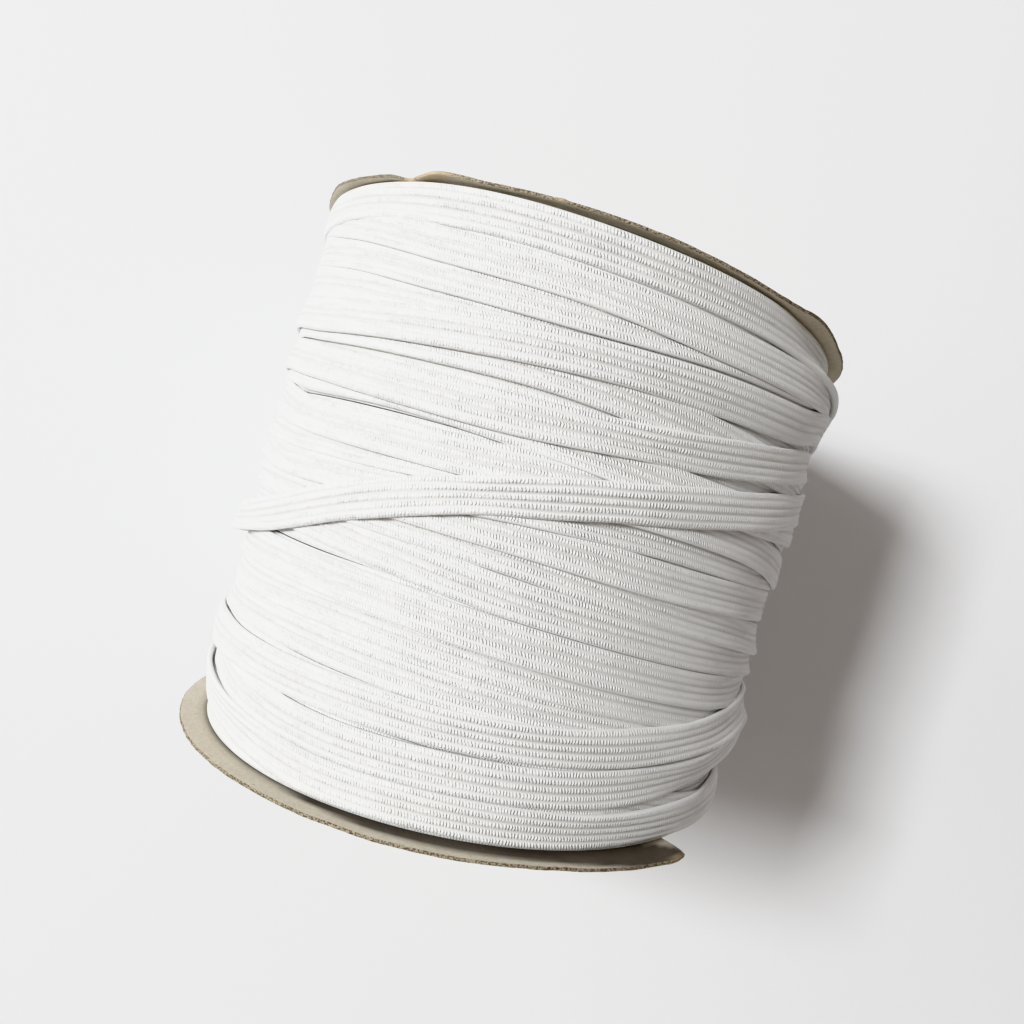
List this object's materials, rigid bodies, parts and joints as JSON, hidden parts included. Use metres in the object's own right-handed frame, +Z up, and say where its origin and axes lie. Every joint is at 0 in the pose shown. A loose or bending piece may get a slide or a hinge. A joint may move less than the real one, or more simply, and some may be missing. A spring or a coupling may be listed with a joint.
{
  "type": "roll of elastic",
  "caption": "Roll of flat braided elastic wound between two thin round card ends, lying on its side, for cutting lengths for waistbands, cuffs and straps.",
  "frame": {"origin": "bottom centre of the bounding box, on the surface that the roll lies on", "axes": "+Y along the roll's axis from the lower card to the upper card, +Z up, +X across the roll"},
  "size_m": [0.106, 0.1004, 0.1055],
  "materials": {
    "elastic": "white plaited elastic with lengthwise ribs and a soft sheen",
    "card": "thin matte greyboard with a fuzzy cut edge"
  },
  "bodies": {
    "root": {"elastic_roll": "elastic", "upper_card": "card", "lower_card": "card"}
  },
  "joints": []
}
